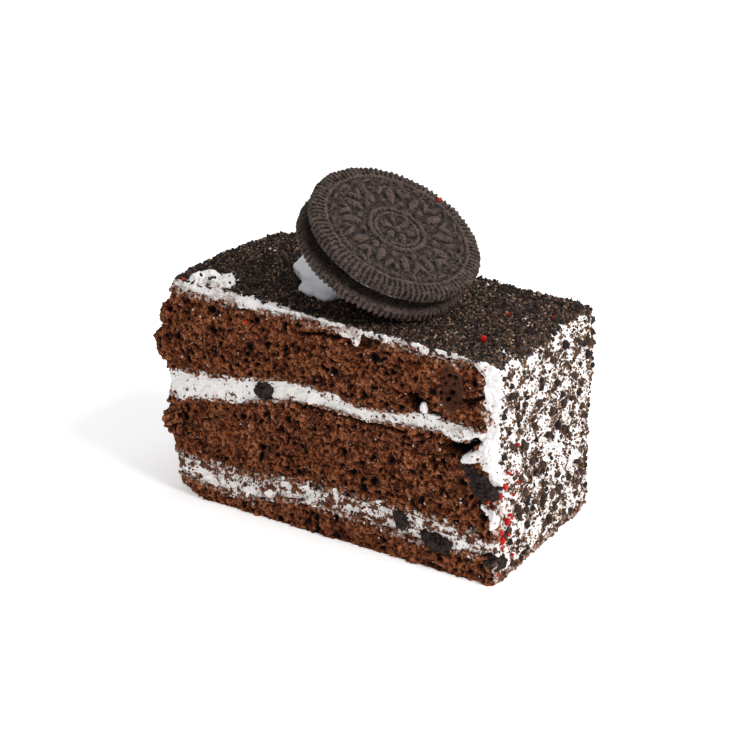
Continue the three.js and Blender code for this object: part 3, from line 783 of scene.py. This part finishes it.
def rubbedIn(spots):  # how much sponge the knife has dragged into the icing
    x, y, z = toSlice(spots)
    high = z > icing["topStart"]
    edge = (y < 1.4) * high * (x < 90) * (0.5 + 0.3 * patchNoise(spots, 4 * mm))
    end = (x > 90) * (y > 4) * 0.44
    belowPatch = np.clip(1.6 - fromPatch(x, y, "smearPatch"), 0, 1) * high * 0.58
    return np.maximum(np.maximum(edge, end), belowPatch)


def spreadIcing(material):
    relief = makeSpread("icingRelief", icing)
    piece = shapeLayer(
        "icing", "icingCoat", relief, icing["voxel"], lumps=icing["lumps"], hidden=hiddenIcing)
    spots = readMesh(piece.data)
    writeField(piece.data, "dust", dustCover(spots) * 0.9)
    writeField(piece.data, "rubbed", rubbedIn(spots))
    return finishPiece(piece, material, "crumb_coat", "icing")


# Crumbs

bit = {"kinds": 6, "jitter": 0.3, "sizes": (1.0, 0.85, 0.75)}


def crumbShapes(seed):  # broken bits, each an icosahedron with its corners pushed about
    shapes = []
    for k in range(bit["kinds"]):
        bpy.ops.mesh.primitive_ico_sphere_add(subdivisions=1, radius=1)
        model = bpy.context.object
        setMode("EDIT")
        bpy.ops.mesh.select_all(action="SELECT")
        bpy.ops.transform.vertex_random(offset=bit["jitter"], seed=seed + k)
        setMode("OBJECT")
        corners = readMesh(model.data) * np.array(bit["sizes"])
        shapes.append((corners, np.array([tuple(face.vertices) for face in model.data.polygons])))
        bpy.data.objects.remove(model)
    return shapes


def strew(name, landings, radii, shades, seed, material, slot, sink=0.25, tag="shade"):
    # One mesh of many bits: each lands on a spot, turned at random and a little sunk
    draw = np.random.default_rng(seed)
    shapes = crumbShapes(seed)
    points, faces, tones, offset = [], [], [], 0
    for (spot, normal), radius, shade in zip(landings, radii, shades):
        corners, sides = shapes[draw.integers(len(shapes))]
        turn = np.array(Euler(draw.uniform(0, 2 * math.pi, 3)).to_matrix())
        centre = np.array(spot) + np.array(normal) * radius * (0.6 - sink)
        points.append(corners @ turn.T * radius + centre)
        faces.append(sides + offset)
        tones.append(np.full(len(corners), shade))
        offset += len(corners)
    mesh = bpy.data.meshes.new(name)
    mesh.from_pydata(np.concatenate(points).tolist(), [], np.concatenate(faces).tolist())
    piece = bpy.data.objects.new(name, mesh)
    bpy.context.scene.collection.objects.link(piece)
    writeField(mesh, tag, np.concatenate(tones))
    finishPiece(piece, material, slot)


rayStarts = {  # axis, start in slice mm and way of the rays that find where a bit lands
    "overWafer": (2, 110, -1), "above": (2, 80, -1), "end": (0, 120, -1),
    "front": (1, -20, 1), "back": (1, 70, -1), "left": (0, -20, 1),
}


def aimFrom(side, u, v):  # a ray's start and way; u and v are the start's other two measures
    axis, start, way = rayStarts[side]
    place, aim = [u, v], [0, 0]
    place.insert(axis, start)
    aim.insert(axis, way)
    return fromCorner(*place), Vector(aim)


def land(surface, start, aim):
    hit, spot, normal, face = surface.ray_cast(start, aim)
    return (spot, normal) if hit else None


topCoat = {
    "fine": {"count": 17000, "radius": (0.26, 0.50), "sink": 0.25, "palest": 1.0, "seed": 11},
    "coarse": {"count": 2300, "radius": (0.5, 0.9), "sink": 0.45, "palest": 0.6, "seed": 12},
    "area": ((-4, 97), (-0.5, 51.5)),
    "lowest": 40 * mm,  # a bit that falls past the edge isn't counted
    "stray": 0.09,  # share of grains that stay where the icing is bare
}


def sprinkleTop(coat, kind, material):
    plan = topCoat[kind]
    draw = np.random.default_rng(plan["seed"])
    landings = []
    while len(landings) < plan["count"]:
        x, y = (draw.uniform(*span) for span in topCoat["area"])
        found = land(coat, *aimFrom("above", x, y))
        if found and found[0].z > topCoat["lowest"]:
            landings.append(found)
    cover = dustCover(np.array([tuple(spot) for spot, normal in landings]))
    keep = draw.uniform(0, 1, len(landings)) < cover + topCoat["stray"]
    landings = [found for found, kept in zip(landings, keep) if kept]
    low, high = plan["radius"]
    radii = (low + (high - low) * draw.uniform(0, 1, len(landings)) ** 2) * mm
    shades = plan["palest"] * draw.uniform(0, 1, len(landings)) ** 2
    half = len(landings) // 2
    halves = {"A": slice(0, half), "B": slice(half, None)}
    for part, some in (halves if kind == "fine" else {"": slice(None)}).items():
        strew(kind + "TopCrumbs" + part, landings[some], radii[some], shades[some],
              plan["seed"], material, "crumb_coat", plan["sink"])


endCoat = {
    "face": ((1.4, 51.2), (0.4, 57)),  # y and z of the clumps
    "looseFace": ((1, 51), (0.4, 57)),
    "edges": ((0.4, 51.2), (0.1, 57.5)),  # past these nothing stays on
    "bareEdge": (0.3, 3.4),  # y where the coat by the cut face begins, and how wide it thins out
    "leastX": 88,  # a ray that passes the end face hits further in
    "clumps": 700,
    "clumpRadius": (0.45, 1.35),
    "patchSize": 6,
    "strays": (4, 17),  # fine bits round each clump
    "spread": 0.95,
    "strayRadius": (0.13, 0.42),
    "sink": 0.4,  # the clumps are pressed into the icing
    "loose": 2600,
    "seed": 21,
    "clumpSeed": 22,
    "straySeed": 23,
}


def sprinkleEnd(surfaces, clumpMaterial, fineMaterial):  # clumps, each in a drift of finer bits
    plan = endCoat
    draw = np.random.default_rng(plan["seed"])
    clumps, fines = ([], [], []), ([], [], [])
    (front, back), (foot, top) = plan["edges"]
    leastX = fromCorner(plan["leastX"], 0, 0).x

    def drop(kind, y, z, radius, shade):
        if not (front < y < back and radius + foot < z < top):
            return
        if draw.uniform() > (y - plan["bareEdge"][0]) / plan["bareEdge"][1]:
            return
        for surface in surfaces:
            found = land(surface, *aimFrom("end", y, z))
            if found and found[0].x > leastX:
                for row, value in zip(kind, (found, radius * mm, shade)):
                    row.append(value)
                return

    low, high = plan["clumpRadius"]
    fineLow, fineHigh = plan["strayRadius"]
    for k in range(plan["clumps"]):
        y, z = (draw.uniform(*span) for span in plan["face"])
        place = Vector((y / plan["patchSize"], z / plan["patchSize"], 3.3))
        if draw.uniform() > 0.77 + 0.7 * noise.noise(place):
            continue
        size = low + (high - low) * draw.uniform() ** 2.6
        shade = 0.08 + 0.42 * draw.uniform() ** 1.5
        drop(clumps, y, z, size, shade)
        for n in range(draw.integers(*plan["strays"])):
            dy, dz = draw.normal(0, plan["spread"] * (0.5 + size), 2)
            drop(fines, y + dy, z + dz, draw.uniform(fineLow, fineHigh), 0.25 + 0.7 * draw.uniform())
    for n in range(plan["loose"]):
        y, z = (draw.uniform(*span) for span in plan["looseFace"])
        drop(fines, y, z, fineLow + 0.2 * draw.uniform() ** 2, 0.4 + 0.6 * draw.uniform())
    strew("coarseEndCrumbs", *clumps, plan["clumpSeed"], clumpMaterial, "crumb_coat", plan["sink"])
    strew("fineEndCrumbs", *fines, plan["straySeed"], fineMaterial, "crumb_coat")


# Sponge crumbs that the knife left on the cream

looseCrumb = {
    "casts": 26000,
    "sides": [("front", -4, 93), ("back", -4, 93), ("left", 1, 50)],  # cast from each in turn
    "heights": (1, 58.4),
    "radius": (0.16, 0.48),
    "reach": 0.9 * mm,
    "seed": 41,
    "turnSeed": 42,
}


def dropSpongeCrumbs(sponges, creams, material):
    draw = np.random.default_rng(looseCrumb["seed"])
    low, high = looseCrumb["radius"]
    landings, radii, shades = [], [], []
    for k in range(looseCrumb["casts"]):
        side, least, most = looseCrumb["sides"][k % len(looseCrumb["sides"])]
        z = draw.uniform(*looseCrumb["heights"])
        start, aim = aimFrom(side, draw.uniform(least, most), z)
        hits = [
            (found[0] - start, found, piece)
            for piece in sponges + creams if (found := land(piece, start, aim))
        ]
        if not hits:
            continue
        reach, found, piece = min(hits, key=lambda hit: hit[0].length)
        if piece in sponges:
            continue
        near = min((found[0] - layer.closest_point_on_mesh(found[0])[1]).length for layer in sponges)
        dirty = 0.0
        if piece.name == "lowerCream":
            dirty = 0.55 + 0.6 * noise.noise(found[0] / (2.5 * mm))
        if draw.uniform() < math.exp(-near / looseCrumb["reach"]) * 0.5 + dirty * 0.5:
            landings.append(found)
            radii.append((low + (high - low) * draw.uniform() ** 2.5) * mm)
            # As relief these stand high, so the sponge material paints no pore shade on them
            shades.append(draw.uniform(0.6, 1.0))
    strew("looseSpongeCrumbs", landings, radii, shades,
          looseCrumb["turnSeed"], material, "sponge", tag="relief")


# Broken biscuit in the cut face

brokenBit = {
    "voxel": 0.25 * mm,
    "waves": [(2.5, 0.40), (0.9, 0.40), (0.45, 0.20)],
    "folds": (0.16, 0.16, 10, 0.05, 0.45),  # full dip and rise in mm, rounds, tone of the painted shade in the dip and of the painted highlight on the rise
    "proud": {  # how far each stands out of the crumb round it, in mm
        "chunk_side": 0.5, "chunk_lower": 0.8, "chunk_corner": 0.45, "chunk_upper": 0.8, "chunk_small": 0.8,
    },
    "lumps": {
        "chunk_side": [
            ((89.4, 0.5, 26.6), (5.6, 1.3, 2.3), 45), ((86.6, 0.5, 30.0), (2.4, 1.2, 1.5), 10),
        ],
    },
}


def crumbleChunk(node, material):
    name = node.replace("chunk_", "") + "BiscuitBit"
    relief = makeSpread(name + "Relief", {**brokenBit, "back": -brokenBit["proud"][node]})
    piece = shapeLayer(node, name, relief, brokenBit["voxel"], lumps=brokenBit["lumps"].get(node, []))
    settle(piece)
    return finishPiece(piece, material, "biscuit", node)


# Sandwich biscuit

wafer = {
    "radius": 22.6 * mm,
    "thickness": 3.3 * mm,
    "rimStep": 0.4 * mm,  # how far the face lies under the thickness
    "bodyInset": 0.6 * mm,  # of the plain disc inside its ridges
    "rounding": 0.9 * mm,
    "flutes": 96,
    "sideRidge": (0.9, (0.9, 0.50, 1.45)),  # how far in from the rim, and half sizes, in mm
    "topRidge": (2.4, (2.3, 0.50, 1.0)),
    "topRidgeSink": 0.35 * mm,
    "voxel": 0.23 * mm,
    "proud": 1.05 * mm,
    "rings": [(7.2, 0.62), (5.6, 0.40), (18.7, 0.5)],  # radius and half width in mm
    "motifs": [  # count, radius, half length, half width, turn against the radius in degrees, offset
        (6, 3.2, 1.8, 0.95, 0, 0.5),
        (12, 12.2, 2.8, 1.25, 0, 0.5),
        (12, 9.8, 1.0, 1.0, 0, 0.0),
        (12, 13.6, 2.0, 0.85, 38, 0.09),
        (12, 13.6, 2.0, 0.85, -38, -0.09),
        (24, 17.0, 0.55, 1.15, 0, 0.25),
        (1, 0, 1.0, 1.0, 0, 0),
    ],
    # dip and rise in mm, rounds, tone of the painted shade in the dip and of the painted highlight on the
    # rise
    "folds": (0.15, 0.07, 14, -0.20, 0.50),
    "grain": [(3.0, 0.16), (1.0, 0.14), (0.5, 0.10)],
}


def waferPlace(node):  # the solid's points, their middle, and the axis of the biscuit, upwards
    spots = readMesh(nodes[node].data)
    spots = np.unique(spots.round(7), axis=0)
    middle = (spots.min(0) + spots.max(0)) / 2
    values, axes = np.linalg.eigh(np.cov((spots - spots.mean(0)).T))
    axis = Vector(axes[:, 0])
    if axis.z < 0:
        axis.negate()
    return spots, Vector(middle), axis


def ringOf(count, radius, height, size, turn=0.0, offset=0.5):  # flattened balls round a ring
    bumps = []
    for i in range(count):
        angle = 2 * math.pi * (i + offset) / count
        place = (radius * math.cos(angle), radius * math.sin(angle), height)
        bpy.ops.mesh.primitive_ico_sphere_add(subdivisions=2, radius=1, location=place)
        bump = bpy.context.object
        bump.scale = size
        bump.rotation_euler.z = angle + math.radians(turn)
        bumps.append(bump)
    return bumps


def pressWafer(name, worked):
    radius, thick = wafer["radius"], wafer["thickness"]
    face = thick - wafer["rimStep"]
    bpy.ops.mesh.primitive_cylinder_add(
        vertices=160, radius=radius - wafer["bodyInset"], depth=face, location=(0, 0, face / 2))
    body = bpy.context.object
    body.name = body.data.name = name
    applyModifier(body, "BEVEL", width=wafer["rounding"], segments=4, limit_method="ANGLE")
    parts = [body]
    for ridge, height in (("sideRidge", thick * 0.5), ("topRidge", face - wafer["topRidgeSink"])):
        inset, half = wafer[ridge]
        parts += ringOf(wafer["flutes"], radius - inset * mm, height, [h * mm for h in half])
    if worked:
        for ring, width in wafer["rings"]:
            bpy.ops.mesh.primitive_torus_add(
                major_radius=ring * mm, minor_radius=width * mm, major_segments=96, minor_segments=12,
                location=(0, 0, face))
            parts.append(bpy.context.object)
        for count, ring, long, wide, turn, offset in wafer["motifs"]:
            size = (long * mm, wide * mm, wafer["proud"])
            parts += ringOf(count, ring * mm, face, size, turn, offset)
    pickOnly(*parts)
    bpy.ops.object.transform_apply(location=True, rotation=True, scale=True)
    bpy.ops.object.join()
    remesh(body, wafer["voxel"])
    applyModifier(body, "SMOOTH", factor=0.5, iterations=1)
    return body


def makeStamp(name):  # roughens the wafer and keeps its folds, which the material turns into painted shade and painted highlight
    tree, geometry, place, normal, result = newRelief(name)
    across = addNode(tree, "SeparateXYZ", [place])
    inner = [across.outputs[2], 0.5 * mm, 0.2 * mm, 0.0, -0.15]  # where it meets the filling: painted shade between the wafers
    marked = keepFields(tree, geometry, {"inner": addNode(tree, "MapRange", inner)})
    moved = pushOut(tree, marked, normal, swing(tree, place, wafer["grain"]))
    stamped = markFolds(tree, moved, place, normal, "relief", wafer["folds"])
    tree.links.new(stamped.outputs[0], result)
    return tree


def placeWafer(piece, node, facingUp, material):
    applyModifier(piece, "NODES", node_group=makeStamp(piece.name + "Relief"))
    spots, middle, axis = waferPlace(node)
    reach = (spots - np.array(middle)) @ np.array(axis)
    foot = middle + axis * (reach.min() if facingUp else reach.max())
    turn = Vector((0, 0, 1)).rotation_difference(axis).to_matrix().to_4x4()
    flip = Matrix.Identity(4) if facingUp else Matrix.Rotation(math.pi, 4, "X")
    piece.data.transform(Matrix.Translation(foot) @ turn @ flip)
    finishPiece(piece, material, "biscuit", node)


filling = {
    "setBack": 0.95,
    "voxel": 0.4 * mm,
    "waves": [(5, 0.25), (1.5, 0.12), (0.6, 0.05)],
}


def fillBiscuit(material):
    piece = copyNode("biscuit_filling", "biscuitCream")
    spots = readMesh(piece.data)
    tip = spots[spots[:, 2].argmin()]  # the low side keeps its place and the rest is set back
    movePoints(piece.data, tip + (spots - tip) * filling["setBack"])
    remesh(piece, filling["voxel"])
    applyModifier(piece, "NODES", node_group=makeSpread("fillingRelief", filling))
    finishPiece(piece, material, "filling", "biscuit_filling")


# Dab of whipped cream under the biscuit

dab = {
    "lobes": [((35.0, 13.2, 60.3), (5.8, 2.7, 1.8)), ((38.0, 12.0, 60.0), (3.0, 2.2, 1.3))],  # lower bulge
    "voxel": 0.4 * mm,
    "waves": [(4.5, 0.50), (2.0, 0.10)],
}


def pipeDab(material):
    piece = copyNode("cream_dab", "creamDab")
    for lobe in dab["lobes"]:
        addLump(piece, *lobe)
    remesh(piece, dab["voxel"])
    applyModifier(piece, "SMOOTH", factor=0.6, iterations=2)
    applyModifier(piece, "NODES", node_group=makeSpread("dabRelief", dab))
    pickOnly(piece)
    bpy.ops.object.shade_smooth()
    finishPiece(piece, material, "cream", "cream_dab")


# Red chips

chips = {  # by the side that they are dropped from: two places in slice mm, and the radius
    "overWafer": [(54.1, 38.8, 0.65)],
    "above": [
        (83.6, 10.3, 1.15), (79.8, 29.6, 0.6), (89.2, 35.4, 0.55), (60.5, 43.0, 0.4), (1.8, 1.3, 0.45),
    ],
    "front": [(92.4, 23.7, 0.5), (22.8, 54.3, 0.6)],
    "end": [
        (1.9, 26.8, 1.05), (1.4, 24.0, 0.9), (2.1, 20.0, 0.65), (3.8, 16.0, 1.1), (2.0, 14.2, 1.05),
        (1.7, 11.8, 1.15), (2.1, 9.6, 0.95), (1.9, 7.4, 1.0), (2.6, 5.8, 0.75), (1.5, 4.6, 0.9),
        (1.5, 3.0, 0.75), (7.9, 27.9, 0.55), (4.3, 29.2, 0.6), (9.2, 24.5, 0.6), (6.7, 22.3, 0.6),
        (5.2, 17.6, 0.65), (6.8, 16.1, 0.5), (4.3, 12.6, 0.6), (6.8, 6.1, 0.6), (9.3, 34.9, 0.6),
    ],
}
chipSeed, chipShade, chipSink = 33, 0.5, -0.5


def dropChips(surfaces, material):
    landings, radii = [], []
    for side, places in chips.items():
        for u, v, radius in places:
            start, aim = aimFrom(side, u, v)
            found = [hit for surface in surfaces[side] if (hit := land(surface, start, aim))]
            if found:
                landings.append(min(found, key=lambda hit: (hit[0] - start).length))
                radii.append(radius * mm)
    shades = np.full(len(radii), chipShade)
    strew("berryChips", landings, radii, shades, chipSeed, material, "crumb_coat", sink=chipSink)


setCamera()
setStudio()
print("camera and light are set")

chocolateSponge = makeSponge()
layerCream = makeCream("whippedCreamLayer", "#f6f4f3", "#dedad6", 0.055)
patchyCream = makeCream("whippedCreamWithCrumb", "#fcfaf9", "#e6e0db", 0.145)
pipedCream = makeCream("pipedWhippedCream", "#f4f4f8", "#e2e2ea", -0.3)
whiteIcing = makeIcing()
crushedBiscuit = makeCrushedBiscuit("crushedBiscuit", [
    (0.0, "#0e0908"), (0.4, "#3e2d25"), (0.75, "#6d5343"), (1.0, "#ac8f76"),
])
biscuitFines = makeCrushedBiscuit("biscuitFinesOnIcing", [  # damp from the icing, so browner
    (0.0, "#150b07"), (0.4, "#45301f"), (0.75, "#6d4c34"), (1.0, "#a5825f"),
])
# Its shade field holds painted shade in the folds and painted highlight on what stands proud
brokenBiscuit = makeCrushedBiscuit("brokenBiscuit", [
    (0.0, "#060403"), (0.35, "#231a17"), (0.7, "#43362f"), (1.0, "#75665a"),
])
cocoaWafer = makeWafer()
# Firm sugar and fat filling: chalky off-white
sugarFilling = makeTwoTone("sugarFilling", 1.2, "#bdb9a8", "#e4e1d6", 0.7, 0.5)
# Freeze-dried berry skin: brittle, saturated red with a slight shine
driedBerrySkin = makeTwoTone("driedBerrySkin", 0.8, "#860204", "#d41408", 0.45, 0.2)
print("materials are made")

sponges = [
    bakeSponge("sponge_bottom", "bottomSponge", ["cream_lower"], chocolateSponge),
    bakeSponge("sponge_middle", "middleSponge", ["cream_lower", "cream_upper"], chocolateSponge),
    bakeSponge("sponge_top", "topSponge", ["cream_upper", "icing"], chocolateSponge),
]
lowerCream = spreadCream("cream_lower", "lowerCream", patchyCream)
upperCream = spreadCream("cream_upper", "upperCream", layerCream)
coat = spreadIcing(whiteIcing)
for kind in ("fine", "coarse"):
    sprinkleTop(coat, kind, crushedBiscuit)
sprinkleEnd([coat, sponges[0]], crushedBiscuit, biscuitFines)
dropSpongeCrumbs(sponges, [lowerCream, upperCream, coat], chocolateSponge)
bits = [crumbleChunk(node, brokenBiscuit) for node in brokenBit["proud"]]
upperWafer = pressWafer("upperWafer", True)
placeWafer(upperWafer, "biscuit_upper", True, cocoaWafer)
placeWafer(pressWafer("lowerWafer", False), "biscuit_lower", False, cocoaWafer)
fillBiscuit(sugarFilling)
pipeDab(pipedCream)
dropChips({
    "overWafer": [upperWafer], "above": [coat], "front": sponges + bits, "end": [coat],
}, driedBerrySkin)
